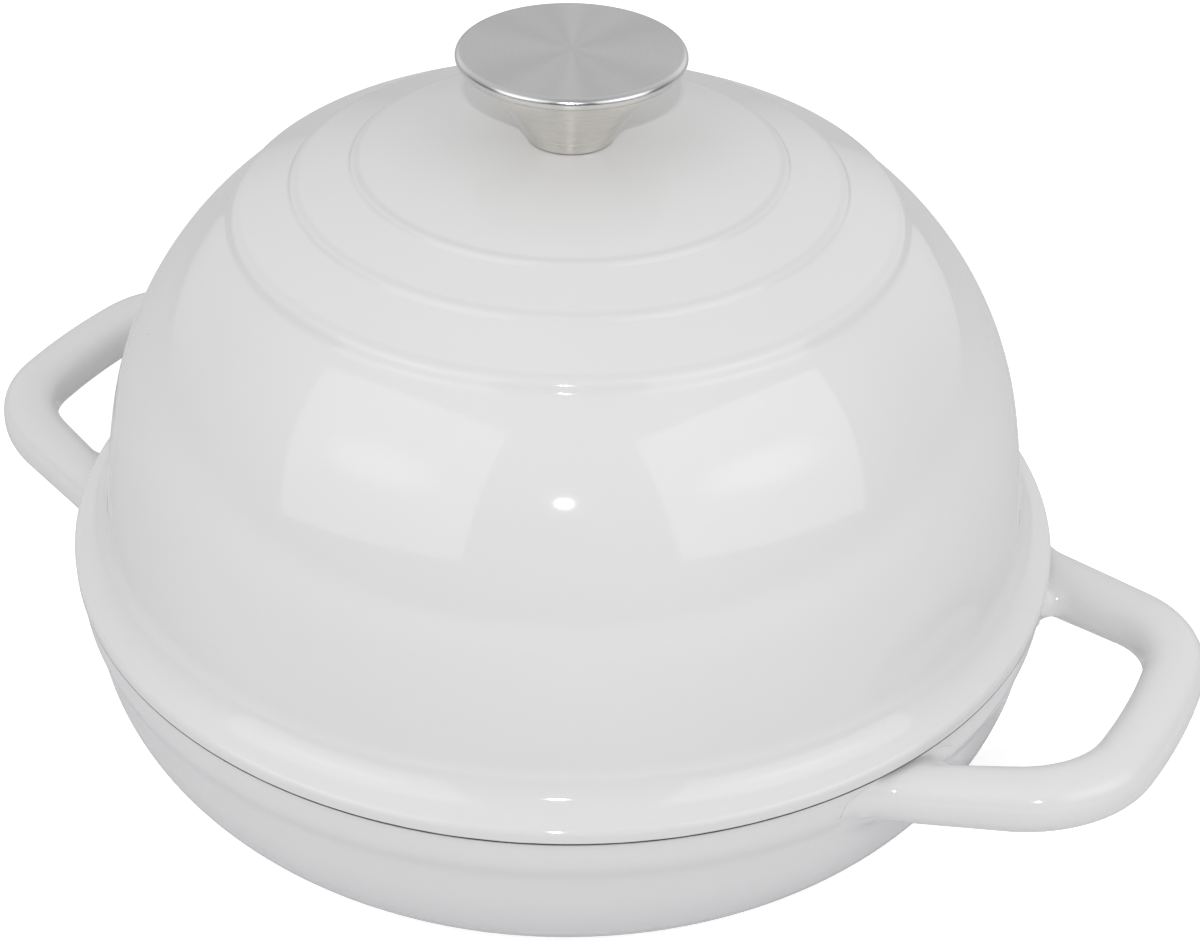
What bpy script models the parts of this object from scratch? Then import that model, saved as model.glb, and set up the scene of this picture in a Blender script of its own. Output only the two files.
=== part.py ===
"""A round dutch oven for bread: a shallow cast pan with two loop handles, a tall domed lid and a steel knob.

Metres, +Z up. The origin is the middle of the pan's underside. The handles lie along X. The lid rests on
the pan's rim and lifts straight up, with its knob, washers and screw.
"""

from math import asin, atan2, cos, hypot, pi, radians, sin, sqrt, tan

import bmesh
import bpy
from mathutils import Vector
from mathutils.geometry import interpolate_bezier

# Gap between pieces that touch on the real object
FIT_GAP = 0.0003

# Pan
PAN_HEIGHT = 0.0573
BAND_RADIUS = 0.1292
BAND_HEIGHT = 0.0095
BAND_STEP = 0.0015
BAND_STEP_HEIGHT = 0.0014
BODY_LEAN = radians(8.1)
PAN_CORNER_RADIUS = 0.0424
RIM_THICKNESS = 0.0056
RIM_ROUNDING = 0.0007
PAN_WALL = 0.0042
PAN_FLOOR = 0.0046

# Loop handles, cast in one with the pan
HANDLE_STANDOFF = 0.0368
HANDLE_HALF_WIDTH = 0.0076
HANDLE_HALF_HEIGHT = 0.0069
HANDLE_BEND_RADIUS = 0.0270
HANDLE_ROOT_SPREAD = 0.0490
HANDLE_LEG_SPLAY = radians(17.8)
HANDLE_LIFT = 0.0045
HANDLE_TOP_BELOW_RIM = 0.0003
HANDLE_INNER_FILLET = 0.0095
HANDLE_OUTER_FILLET = 0.0070
HANDLE_UNDER_FILLET = 0.0050
HANDLE_EMBED = 0.0022
HANDLE_SQUARENESS = 2.5

# Lid
LID_OVERHANG = 0.0010
LID_EDGE_ROUNDING = 0.0007
LID_LIP_HEIGHT = 0.0030
LID_LIP_ROUNDING = 0.0016
LID_LIP_SLOPE = radians(26.0)
LID_LIP_FILLET = 0.0122
LID_WALL_INSET = 0.0096
LID_WALL_LEAN = radians(5.0)
LID_WALL_BOW = 0.2230
LID_WALL_HEIGHT = 0.0409
LID_SHOULDER_RADIUS = 0.0876
LID_WALL = 0.0042
LOCATING_LIP_DEPTH = 0.0040
LOCATING_LIP_CLEARANCE = 0.0010
LOCATING_LIP_THICKNESS = 0.0048
LOCATING_LIP_CHAMFER = 0.0012

# Moulded steps round the top of the lid. Each drop and slope is given from the outermost step inwards.
OUTER_STEP_RADIUS = 0.0813
STEP_SPACING = 0.0150
STEP_RUN = 0.0036
STEP_DROPS = (0.0037, 0.0021, 0.0016)
STEP_SOFTNESS = 0.60
TERRACE_SLOPES = (radians(24.6), radians(16.8), radians(7.1))
CEILING_TURN = radians(6.0)
CROWN_THICKNESS = 0.0042

# Knob
KNOB_HEIGHT = 0.0227
KNOB_RADIUS = 0.0280
KNOB_FOOT_RADIUS = 0.0109
KNOB_FOOT_ROUNDING = 0.0006
KNOB_SHEET = 0.0014
KNOB_DISC_THICKNESS = 0.0020
KNOB_DISC_OVERHANG = 0.0006
KNOB_SPIGOT_DEPTH = 0.0012
KNOB_SPIGOT_WIDTH = 0.0020
KNOB_SEAT_MARGIN = 0.0016
# How far out and up the two handles of the trumpet's curve lie, as shares of its spread and rise
KNOB_LOWER_BEND = (0.28, 0.42)
KNOB_UPPER_BEND = (0.55, 0.73)

# Fastening of the knob
SCREW_RADIUS = 0.0030
SCREW_CLEARANCE = 0.0004
SCREW_TIP_GAP = 0.0010
SCREW_HEAD_RADIUS = 0.0056
SCREW_HEAD_HEIGHT = 0.0034
SCREW_HEAD_ROUNDING = 0.0011
SCREW_SLOT_WIDTH = 0.0014
SCREW_SLOT_DEPTH = 0.0018
SCREW_TIP_CHAMFER = 0.0006
BUSH_RADIUS = 0.0056
BUSH_FLANGE_RADIUS = 0.0080
BUSH_FLANGE_THICKNESS = 0.0016
BUSH_HEADROOM = 0.0062
BUSH_CEILING = 0.0015
FLAT_WASHER_RADIUS = 0.0075
FLAT_WASHER_THICKNESS = 0.0012
SPRING_WASHER_RADIUS = 0.0052
SPRING_WASHER_THICKNESS = 0.0013
SPRING_WASHER_SPLIT = radians(14.0)

# Fineness of the round shapes
CASTING_SEGMENTS = 60
KNOB_SEGMENTS = 40
FASTENER_SEGMENTS = 24
HANDLE_SECTION_POINTS = 14


def clear_scene():
    for item in list(bpy.data.objects):
        bpy.data.objects.remove(item, do_unlink=True)


def finish_material(name, colour, roughness, metallic):
    material = bpy.data.materials.new(name)
    material.use_nodes = True
    shader = material.node_tree.nodes["Principled BSDF"]
    shader.inputs["Base Color"].default_value = (*colour, 1.0)
    shader.inputs["Roughness"].default_value = roughness
    shader.inputs["Metallic"].default_value = metallic
    return material


def add_object(name, mesh, material, parent=None):
    """A new object whose mesh is given in world coordinates."""
    item = bpy.data.objects.new(name, mesh)
    bpy.context.scene.collection.objects.link(item)
    mesh.materials.append(material)
    if parent:
        mesh.transform(parent.matrix_world.inverted())
        item.parent = parent
    return item


def shade_smooth(item, sharp_angle=radians(32.0)):
    item.data.shade_smooth()
    item.data.set_sharp_from_angle(angle=sharp_angle)


def arc(centre, radius, start, end, steps):
    """Points (r, z) on a circle from one angle to another, both ends included."""
    turn = (end - start) / steps
    return [
        (centre[0] + radius * cos(start + turn * k), centre[1] + radius * sin(start + turn * k))
        for k in range(steps + 1)
    ]


def bezier(start, leave, arrive, end, points):
    curve = interpolate_bezier(
        *[Vector((r, z, 0.0)) for r, z in (start, leave, arrive, end)], points
    )
    return [(p.x, p.y) for p in curve]


def turned(name, profile, segments, material, parent=None):
    """A body turned round the Z axis from (r, z) points that run down its outer side."""
    mesh = bpy.data.meshes.new(name)
    closed = profile[0][0] > 0 or profile[-1][0] > 0
    count = len(profile)
    edges = [(k, k + 1) for k in range(count - 1)]
    if closed:
        edges.append((count - 1, 0))
    mesh.from_pydata([(r, 0.0, z) for r, z in profile], edges, [])
    item = add_object(name, mesh, material)
    screw = item.modifiers.new("Turn", "SCREW")
    screw.axis = "Z"
    screw.angle = 2 * pi
    screw.steps = segments
    screw.render_steps = segments
    screw.use_merge_vertices = True
    screw.merge_threshold = 0.00001
    screw.use_smooth_shade = True
    return baked(item, parent)


def baked(item, parent=None):
    """The same object with its modifiers worked into the mesh, so that sharp edges can be marked."""
    graph = bpy.context.evaluated_depsgraph_get()
    mesh = bpy.data.meshes.new_from_object(item.evaluated_get(graph))
    item.modifiers.clear()
    item.data = mesh
    mesh.name = item.name
    shade_smooth(item)
    if parent:
        mesh.transform(parent.matrix_world.inverted())
        item.parent = parent
    return item


def boolean(item, other, operation):
    modifier = item.modifiers.new(operation.title(), "BOOLEAN")
    modifier.operation = operation
    modifier.solver = "EXACT"
    modifier.object = other
    other.hide_render = True
    other.display_type = "WIRE"


def capped_tube(name, rings):
    """A closed mesh through rings that have the same number of points, with a face over each end."""
    work = bmesh.new()
    loops = [[work.verts.new(point) for point in ring] for ring in rings]
    count = len(rings[0])
    for one, two in zip(loops, loops[1:]):
        for k in range(count):
            work.faces.new((one[k], one[(k + 1) % count], two[(k + 1) % count], two[k]))
    work.faces.new(loops[0])
    work.faces.new(loops[-1])
    bmesh.ops.recalc_face_normals(work, faces=work.faces)
    mesh = bpy.data.meshes.new(name)
    work.to_mesh(mesh)
    work.free()
    return mesh


def radius_at(outline, height):
    """Radius of an outline of (r, z) points, lowest first, at a height."""
    for (low_radius, low), (high_radius, high) in zip(outline, outline[1:]):
        if low <= height <= high:
            return low_radius + (high_radius - low_radius) * (height - low) / (high - low)
    return outline[-1][0]


def lid_radius():
    return BAND_RADIUS + LID_OVERHANG


def handle_reach():
    """Radius of the middle line of the handle's outer bar."""
    return BAND_RADIUS + HANDLE_STANDOFF


def band_bottom():
    return PAN_HEIGHT - BAND_HEIGHT


def pan_wall_top():
    """Where the pan's leaning wall meets the step under its rim band, as (r, z)."""
    return BAND_RADIUS - BAND_STEP, band_bottom() - BAND_STEP_HEIGHT


def pan_corner_centre():
    """Centre of the arc that joins the leaning wall to the flat underside, as (r, z)."""
    wall_radius, wall_height = pan_wall_top()
    drop = wall_height - PAN_CORNER_RADIUS * (1 - sin(BODY_LEAN))
    wall_end = wall_radius - drop * tan(BODY_LEAN)
    return wall_end - PAN_CORNER_RADIUS * cos(BODY_LEAN), PAN_CORNER_RADIUS


def pan_outer_radius(height):
    """Radius of the pan's outside at a height on its band or its leaning wall."""
    wall_radius, wall_height = pan_wall_top()
    if height >= band_bottom():
        return BAND_RADIUS
    return wall_radius - max(wall_height - height, 0.0) * tan(BODY_LEAN)


def rim_inner_radius():
    return BAND_RADIUS - RIM_THICKNESS


def pan_profile():
    centre = pan_corner_centre()
    inner_corner = PAN_CORNER_RADIUS - PAN_WALL
    inner_centre = (centre[0], PAN_FLOOR + inner_corner)
    rim_inner = rim_inner_radius()
    inside = arc(inner_centre, inner_corner, -pi / 2, -BODY_LEAN, 5)
    rim = (
        arc((rim_inner + RIM_ROUNDING, PAN_HEIGHT - RIM_ROUNDING), RIM_ROUNDING, pi, pi / 2, 2)
        + arc((BAND_RADIUS - RIM_ROUNDING, PAN_HEIGHT - RIM_ROUNDING), RIM_ROUNDING, pi / 2, 0, 2)
    )
    outside = [(BAND_RADIUS, band_bottom()), pan_wall_top()]
    outside += arc(centre, PAN_CORNER_RADIUS, -BODY_LEAN, -pi / 2, 7)
    return [(0.0, PAN_FLOOR)] + inside + rim + outside + [(0.0, 0.0)]


def handle_path():
    """Half of the handle's middle line, from the pan's wall to the middle of the bar, as (x, y) points.

    A straight leg leans in from the wall, a bend turns it, and the bar is an arc round the pan's own axis.
    """
    foot = Vector((sqrt(BAND_RADIUS**2 - HANDLE_ROOT_SPREAD**2), HANDLE_ROOT_SPREAD))
    along = Vector((cos(HANDLE_LEG_SPLAY), -sin(HANDLE_LEG_SPLAY)))
    inward = Vector((-sin(HANDLE_LEG_SPLAY), -cos(HANDLE_LEG_SPLAY)))
    offset = foot + inward * HANDLE_BEND_RADIUS
    half = offset.dot(along)
    leg = -half + sqrt(half**2 - offset.length_squared + (handle_reach() - HANDLE_BEND_RADIUS) ** 2)
    centre = offset + along * leg
    leg_angle = atan2(-inward.y, -inward.x)
    bar_angle = atan2(centre.y, centre.x)
    bend_steps = 7
    bar_steps = 2
    bend = [
        centre + HANDLE_BEND_RADIUS * Vector((cos(a), sin(a)))
        for a in (leg_angle + (bar_angle - leg_angle) * k / bend_steps for k in range(bend_steps + 1))
    ]
    bar = [
        handle_reach() * Vector((cos(a), sin(a)))
        for a in (bar_angle * (1 - k / bar_steps) for k in range(1, bar_steps + 1))
    ]
    return foot, along, bend + bar


def handle_height(x):
    """Height of the handle's middle line: level at the wall, then rising smoothly to the bar."""
    root = PAN_HEIGHT - HANDLE_TOP_BELOW_RIM - HANDLE_HALF_HEIGHT
    start = lid_radius()
    share = min(max((x - start) / (handle_reach() - start), 0.0), 1.0)
    return root + HANDLE_LIFT * (share + share**2 * (1 - share))


def handle_section():
    """Offsets (across, up) round the handle's rounded-square section."""
    power = 2 / HANDLE_SQUARENESS
    points = []
    for k in range(HANDLE_SECTION_POINTS):
        angle = 2 * pi * k / HANDLE_SECTION_POINTS
        across = abs(cos(angle)) ** power * (1 if cos(angle) >= 0 else -1)
        up = abs(sin(angle)) ** power * (1 if sin(angle) >= 0 else -1)
        points.append((HANDLE_HALF_WIDTH * across, HANDLE_HALF_HEIGHT * up))
    return points


def root_rings(foot, along, section):
    """Rings of points where the leg spreads into the wall, from inside the wall outwards.

    Each line of the leg is followed to the wall on its own. Its fillet is a quarter round drawn in the
    slanted axes of the leg and the wall, so it leaves the leg and meets the wall without a corner.
    """
    side = Vector((-along.y, along.x))
    steps = 4
    rings = [[] for _ in range(steps + 2)]
    for across, up in section:
        height = handle_height(foot.x) + up
        line = foot + side * across
        half = line.dot(along)
        reach = -half + sqrt(half**2 - line.length_squared + pan_outer_radius(height) ** 2)
        meeting = line + along * reach
        radial = meeting.normalized()
        round_wall = Vector((-radial.y, radial.x))
        sideways = across / hypot(across, up)
        downwards = min(up, 0.0) / hypot(across, up)
        side_fillet = HANDLE_OUTER_FILLET if across > 0 else HANDLE_INNER_FILLET
        fillet = sideways**2 * side_fillet + (1 - sideways**2) * HANDLE_UNDER_FILLET
        for k in range(steps + 1):
            angle = pi / 2 * k / steps
            spread = fillet * (1 - sin(angle))
            drop = downwards * spread
            lean = pan_outer_radius(height) - pan_outer_radius(height + drop)
            flat = meeting + along * fillet * (1 - cos(angle)) + round_wall * sideways * spread
            flat -= radial * lean * (1 - sin(angle))
            rings[k + 1].append(Vector((*flat, height + drop)))
            if k == 0:
                rings[0].append(Vector((*(flat - flat.normalized() * HANDLE_EMBED), height + drop)))
    return rings


def handle_rings():
    """Rings of points along one handle, from inside the wall round to the wall again."""
    foot, along, points = handle_path()
    section = handle_section()
    rings = root_rings(foot, along, section)
    beyond = Vector((points[-2].x, -points[-2].y))
    tangents = [along] + [after - before for before, after in zip(points, points[2:] + [beyond])]
    for point, tangent in zip(points, tangents):
        side = Vector((-tangent.y, tangent.x)).normalized()
        height = handle_height(point.x)
        rings.append([Vector((*(point + side * across), height + up)) for across, up in section])
    other_half = [[Vector((p.x, -p.y, p.z)) for p in ring] for ring in reversed(rings[:-1])]
    return rings + other_half


def make_pan(enamel):
    pan = turned("base_pan", pan_profile(), CASTING_SEGMENTS, enamel)
    for name, direction in (("right_handle_tool", 1), ("left_handle_tool", -1)):
        rings = [[(p.x * direction, p.y * direction, p.z) for p in ring] for ring in handle_rings()]
        handle = add_object(name, capped_tube(name, rings), enamel)
        boolean(pan, handle, "UNION")
    return pan


def lid_bottom():
    return PAN_HEIGHT + FIT_GAP


def shoulder_start():
    """Where the lid's wall turns into its shoulder, as (r, z), with the wall's lean there."""
    wall_radius = lid_radius() - LID_WALL_INSET
    wall_foot = lip_top()[1]
    rise = PAN_HEIGHT + LID_WALL_HEIGHT - wall_foot
    lean = asin(sin(LID_WALL_LEAN) + rise / LID_WALL_BOW)
    return wall_radius - LID_WALL_BOW * (cos(LID_WALL_LEAN) - cos(lean)), wall_foot + rise, lean


def lip_top():
    """Where the fillet above the lid's lip meets the wall, as (r, z)."""
    return lip_profile()[-1]


def lip_profile():
    """The lid's lip from its edge at the seam up to the wall."""
    centre = (lid_radius() - LID_LIP_ROUNDING, lid_bottom() + LID_LIP_HEIGHT)
    round_end = pi / 2 - LID_LIP_SLOPE
    nose = arc(centre, LID_LIP_ROUNDING, 0.0, round_end, 3)
    inset = LID_LIP_FILLET * (cos(LID_WALL_LEAN) - sin(LID_LIP_SLOPE))
    flat = LID_WALL_INSET - (lid_radius() - nose[-1][0]) - inset
    start = (nose[-1][0] - flat, nose[-1][1] + flat * tan(LID_LIP_SLOPE))
    pivot = (start[0] + LID_LIP_FILLET * sin(LID_LIP_SLOPE), start[1] + LID_LIP_FILLET * cos(LID_LIP_SLOPE))
    fillet = arc(pivot, LID_LIP_FILLET, -pi / 2 - LID_LIP_SLOPE, -pi + LID_WALL_LEAN, 4)
    return nose + fillet


def wall_centre():
    """Centre of the slight bow of the lid's wall, as (r, z)."""
    radius, height = lip_top()
    return radius - LID_WALL_BOW * cos(LID_WALL_LEAN), height - LID_WALL_BOW * sin(LID_WALL_LEAN)


def shoulder_centre():
    radius, height, lean = shoulder_start()
    return radius - LID_SHOULDER_RADIUS * cos(lean), height - LID_SHOULDER_RADIUS * sin(lean)


def shoulder_angle(radius, shoulder_radius):
    """Angle on the shoulder's arc at a radius from the axis."""
    return pi / 2 - asin((radius - shoulder_centre()[0]) / shoulder_radius)


def steps_profile():
    """The moulded steps and terraces, from the shoulder inwards, and the crown, level at the knob."""
    angle = shoulder_angle(OUTER_STEP_RADIUS + STEP_RUN, LID_SHOULDER_RADIUS)
    height = shoulder_centre()[1] + LID_SHOULDER_RADIUS * sin(angle)
    slope_below = pi / 2 - angle
    points = []
    seat_radius = KNOB_FOOT_RADIUS + KNOB_SEAT_MARGIN
    reach = STEP_RUN * STEP_SOFTNESS
    for index, (drop, slope) in enumerate(zip(STEP_DROPS, TERRACE_SLOPES)):
        edge_radius = OUTER_STEP_RADIUS - STEP_SPACING * index
        last = index == len(STEP_DROPS) - 1
        inner_radius = seat_radius if last else edge_radius - STEP_SPACING + STEP_RUN
        foot = (edge_radius + STEP_RUN, height)
        edge = (edge_radius, height + drop)
        points += bezier(
            foot,
            (foot[0] - reach, foot[1] + reach * tan(slope_below)),
            (edge[0] + reach, edge[1] - reach * tan(slope)),
            edge,
            4,
        )
        inner = (inner_radius, edge[1] + (edge_radius - inner_radius) * tan(slope))
        height = inner[1]
        slope_below = slope
    bow = (edge_radius - inner_radius) / 3
    crown_start = (edge_radius - bow, edge[1] + bow * tan(2 * slope))
    return points + bezier(edge, crown_start, (inner_radius + bow, height), inner, 4)[1:]


def crown_height():
    return steps_profile()[-1][1]


def lid_inside():
    """The inside of the lid, from the locating lip's foot up to the crown."""
    lip_outer = rim_inner_radius() - LOCATING_LIP_CLEARANCE
    lip_inner = lip_outer - LOCATING_LIP_THICKNESS
    lip_foot = lid_bottom() - LOCATING_LIP_DEPTH
    chamfer = LOCATING_LIP_CHAMFER
    lip = [
        (lip_outer, lid_bottom()),
        (lip_outer, lip_foot + chamfer),
        (lip_outer - chamfer, lip_foot),
        (lip_inner + chamfer, lip_foot),
        (lip_inner, lip_foot + chamfer),
    ]
    wall = arc(wall_centre(), LID_WALL_BOW - LID_WALL, LID_WALL_LEAN, shoulder_start()[2], 2)[:-1]
    inner_shoulder = LID_SHOULDER_RADIUS - LID_WALL
    top_angle = shoulder_angle(OUTER_STEP_RADIUS, inner_shoulder) + CEILING_TURN
    shoulder = arc(shoulder_centre(), inner_shoulder, shoulder_start()[2], top_angle, 5)
    end = shoulder[-1]
    seat = (KNOB_FOOT_RADIUS + KNOB_SEAT_MARGIN, crown_height() - CROWN_THICKNESS)
    reach = (end[0] - seat[0]) / 3
    ceiling = bezier(
        end,
        (end[0] - reach, end[1] + reach * tan(pi / 2 - top_angle)),
        (seat[0] + reach, seat[1]),
        seat,
        5,
    )[1:]
    return lip + wall + shoulder + ceiling


def lid_profile():
    hole = SCREW_RADIUS + SCREW_CLEARANCE
    lean = shoulder_start()[2]
    wall = arc(wall_centre(), LID_WALL_BOW, LID_WALL_LEAN, lean, 2)
    foot_angle = shoulder_angle(OUTER_STEP_RADIUS + STEP_RUN, LID_SHOULDER_RADIUS)
    shoulder = arc(shoulder_centre(), LID_SHOULDER_RADIUS, lean, foot_angle, 6)
    edge_centre = (lid_radius() - LID_EDGE_ROUNDING, lid_bottom() + LID_EDGE_ROUNDING)
    edge = arc(edge_centre, LID_EDGE_ROUNDING, -pi / 2, 0.0, 2)
    upwards = edge + lip_profile()[:-1] + wall[:-1] + shoulder[:-1] + steps_profile()
    outside = [(hole, crown_height())] + upwards[::-1]
    return outside + lid_inside() + [(hole, crown_height() - CROWN_THICKNESS)]


def make_lid(enamel, parent):
    return turned("lid_dome", lid_profile(), CASTING_SEGMENTS, enamel, parent)


def knob_foot():
    return crown_height() + FIT_GAP


def knob_disc_bottom():
    return knob_foot() + KNOB_HEIGHT - KNOB_DISC_THICKNESS


def knob_flare(inset):
    """The trumpet's outline from foot to mouth, drawn in by the sheet's thickness for its inside."""
    foot = knob_foot()
    start = KNOB_FOOT_RADIUS - inset
    spread = KNOB_RADIUS - KNOB_DISC_OVERHANG - KNOB_FOOT_RADIUS
    rise = knob_disc_bottom() - FIT_GAP - foot
    return bezier(
        (start, foot + KNOB_FOOT_ROUNDING),
        (start + spread * KNOB_LOWER_BEND[0], foot + rise * KNOB_LOWER_BEND[1]),
        (start + spread * KNOB_UPPER_BEND[0], foot + rise * KNOB_UPPER_BEND[1] + inset),
        (start + spread, foot + rise),
        8,
    )


def make_knob_body(steel, parent):
    outside = knob_flare(0.0)
    inside = knob_flare(KNOB_SHEET)
    foot = knob_foot()
    hole = BUSH_RADIUS + FIT_GAP
    floor_top = foot + KNOB_SHEET
    rounding = arc(
        (KNOB_FOOT_RADIUS - KNOB_FOOT_ROUNDING, foot + KNOB_FOOT_ROUNDING),
        KNOB_FOOT_ROUNDING,
        0.0,
        -pi / 2,
        2,
    )
    hollow = [point for point in inside if point[1] > floor_top + KNOB_SHEET / 2]
    profile = outside[::-1] + rounding[1:] + [(hole, foot), (hole, floor_top)]
    profile += [(radius_at(inside, floor_top), floor_top)] + hollow
    return turned("knob_body", profile, KNOB_SEGMENTS, steel, parent)


def make_knob_disc(steel, parent):
    """The flat disc that closes the trumpet, with a full-round edge and a spigot inside the mouth."""
    under = knob_disc_bottom()
    top = under + KNOB_DISC_THICKNESS
    edge = KNOB_DISC_THICKNESS / 2
    mouth = knob_flare(KNOB_SHEET)
    spigot_bottom = under - KNOB_SPIGOT_DEPTH
    spigot_foot = radius_at(mouth, spigot_bottom) - 2 * FIT_GAP
    profile = [(0.0, top)]
    profile += arc((KNOB_RADIUS - edge, top - edge), edge, pi / 2, -pi / 2, 6)
    profile += [
        (radius_at(mouth, under) - 2 * FIT_GAP, under),
        (spigot_foot, spigot_bottom),
        (spigot_foot - KNOB_SPIGOT_WIDTH, spigot_bottom),
        (spigot_foot - KNOB_SPIGOT_WIDTH, under),
        (0.0, under),
    ]
    return turned("knob_top_disc", profile, KNOB_SEGMENTS, steel, parent)


def bush_top():
    return knob_disc_bottom() - BUSH_HEADROOM


def make_bush(steel, parent):
    """The threaded bush: a collar on the floor of the stem, and a blind bore from below for the screw."""
    foot = knob_foot()
    collar = foot + KNOB_SHEET + FIT_GAP
    top = bush_top()
    bore = SCREW_RADIUS + FIT_GAP
    profile = [
        (0.0, top),
        (BUSH_RADIUS, top),
        (BUSH_RADIUS, collar + BUSH_FLANGE_THICKNESS),
        (BUSH_FLANGE_RADIUS, collar + BUSH_FLANGE_THICKNESS),
        (BUSH_FLANGE_RADIUS, collar),
        (BUSH_RADIUS, collar),
        (BUSH_RADIUS, foot),
        (bore, foot),
        (bore, top - BUSH_CEILING),
        (0.0, top - BUSH_CEILING),
    ]
    return turned("knob_threaded_bush", profile, FASTENER_SEGMENTS, steel, parent)


def washer_top():
    return crown_height() - CROWN_THICKNESS - FIT_GAP


def make_flat_washer(steel, parent):
    top = washer_top()
    hole = SCREW_RADIUS + SCREW_CLEARANCE
    bottom = top - FLAT_WASHER_THICKNESS
    profile = [(hole, top), (FLAT_WASHER_RADIUS, top), (FLAT_WASHER_RADIUS, bottom), (hole, bottom)]
    return turned("flat_washer", profile, FASTENER_SEGMENTS, steel, parent)


def spring_washer_top():
    return washer_top() - FLAT_WASHER_THICKNESS - FIT_GAP


def make_spring_washer(steel, parent):
    """A split ring, drawn flat by the screw, open over a small angle."""
    top = spring_washer_top()
    bottom = top - SPRING_WASHER_THICKNESS
    hole = SCREW_RADIUS + SCREW_CLEARANCE
    section = [(hole, top), (SPRING_WASHER_RADIUS, top), (SPRING_WASHER_RADIUS, bottom), (hole, bottom)]
    turn = (2 * pi - SPRING_WASHER_SPLIT) / (FASTENER_SEGMENTS - 1)
    angles = [SPRING_WASHER_SPLIT / 2 + turn * k for k in range(FASTENER_SEGMENTS)]
    rings = [[(r * cos(angle), r * sin(angle), z) for r, z in section] for angle in angles]
    washer = add_object("spring_washer", capped_tube("spring_washer", rings), steel, parent)
    shade_smooth(washer)
    return washer


def make_screw(steel, parent):
    """The screw, head down inside the lid, with a slotted cheese head."""
    seat = spring_washer_top() - SPRING_WASHER_THICKNESS - FIT_GAP
    tip = bush_top() - BUSH_CEILING - SCREW_TIP_GAP
    head_bottom = seat - SCREW_HEAD_HEIGHT
    profile = [
        (0.0, tip),
        (SCREW_RADIUS - SCREW_TIP_CHAMFER, tip),
        (SCREW_RADIUS, tip - SCREW_TIP_CHAMFER),
        (SCREW_RADIUS, seat),
        (SCREW_HEAD_RADIUS, seat),
    ]
    rounding_centre = (SCREW_HEAD_RADIUS - SCREW_HEAD_ROUNDING, head_bottom + SCREW_HEAD_ROUNDING)
    profile += arc(rounding_centre, SCREW_HEAD_ROUNDING, 0.0, -pi / 2, 3)
    profile += [(0.0, head_bottom)]
    screw = turned("knob_screw", profile, FASTENER_SEGMENTS, steel)
    slot = add_object("screw_slot_tool", slot_mesh(head_bottom), steel)
    boolean(screw, slot, "DIFFERENCE")
    return baked(screw, parent)


def slot_mesh(head_bottom):
    """A bar as deep again as the slot, centred on the head's face and longer than the head is wide."""
    size = (4 * SCREW_HEAD_RADIUS, SCREW_SLOT_WIDTH, 2 * SCREW_SLOT_DEPTH)
    work = bmesh.new()
    bmesh.ops.create_cube(work, size=1.0)
    bmesh.ops.scale(work, vec=size, verts=work.verts)
    bmesh.ops.translate(work, vec=(0.0, 0.0, head_bottom), verts=work.verts)
    mesh = bpy.data.meshes.new("screw_slot_tool")
    work.to_mesh(mesh)
    work.free()
    return mesh


def make_lift_axis():
    """The line that the lid lifts along, at the seam."""
    axis = bpy.data.objects.new("lid_lift_axis", None)
    bpy.context.scene.collection.objects.link(axis)
    axis.location = (0.0, 0.0, lid_bottom())
    bpy.context.view_layer.update()
    return axis


def main():
    clear_scene()
    white_enamel = (0.72, 0.72, 0.73)
    warm_steel = (0.52, 0.51, 0.49)
    grey_steel = (0.45, 0.45, 0.46)
    axis = make_lift_axis()
    make_pan(finish_material("pan_enamel", white_enamel, 0.12, 0.0))
    make_lid(finish_material("lid_enamel", white_enamel, 0.10, 0.0), axis)
    make_knob_body(finish_material("knob_body_steel", warm_steel, 0.28, 1.0), axis)
    make_knob_disc(finish_material("knob_disc_steel", grey_steel, 0.32, 1.0), axis)
    make_bush(finish_material("bush_steel", grey_steel, 0.40, 1.0), axis)
    make_screw(finish_material("screw_steel", grey_steel, 0.30, 1.0), axis)
    make_flat_washer(finish_material("flat_washer_steel", grey_steel, 0.35, 1.0), axis)
    make_spring_washer(finish_material("spring_washer_steel", grey_steel, 0.38, 1.0), axis)


main()
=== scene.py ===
"""The looks of a round dutch oven for bread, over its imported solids.

Metres, +Z up, in the frame of the solids: the origin is the middle of the pan's underside and the handles
lie along X. The two castings and the knob are drawn again finely, and replace their solids. They follow the
solids' sizes, but for the lid's moulded steps, the handles' inner fillets and the step under the pan's band,
which differ by up to two millimetres to meet the photo's lines. The fastening inside the lid keeps its
solids and gets a finish of its own.
"""

from math import asin, atan2, cos, hypot, pi, radians, sin, sqrt, tan

import bmesh
import bpy
from mathutils import Matrix, Vector
from mathutils.geometry import interpolate_bezier


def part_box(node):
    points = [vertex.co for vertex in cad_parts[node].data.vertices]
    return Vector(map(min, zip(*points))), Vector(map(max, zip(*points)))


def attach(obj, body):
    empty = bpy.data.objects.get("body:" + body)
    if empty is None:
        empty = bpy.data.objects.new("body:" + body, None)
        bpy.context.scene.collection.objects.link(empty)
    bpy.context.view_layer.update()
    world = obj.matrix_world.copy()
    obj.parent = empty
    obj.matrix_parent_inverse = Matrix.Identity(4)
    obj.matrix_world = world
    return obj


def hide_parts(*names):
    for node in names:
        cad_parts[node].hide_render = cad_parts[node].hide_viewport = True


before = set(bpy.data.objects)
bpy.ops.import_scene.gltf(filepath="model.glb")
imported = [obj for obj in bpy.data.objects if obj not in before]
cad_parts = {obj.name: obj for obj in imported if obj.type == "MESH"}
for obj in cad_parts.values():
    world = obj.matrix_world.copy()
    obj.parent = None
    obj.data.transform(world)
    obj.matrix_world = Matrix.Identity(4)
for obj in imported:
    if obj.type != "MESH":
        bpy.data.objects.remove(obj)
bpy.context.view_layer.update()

# Sizes that the solids give
FIT_GAP = 0.0003
LOCATING_LIP_DEPTH = 0.0040
LID_LOW, LID_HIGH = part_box("lid_dome")
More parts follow.
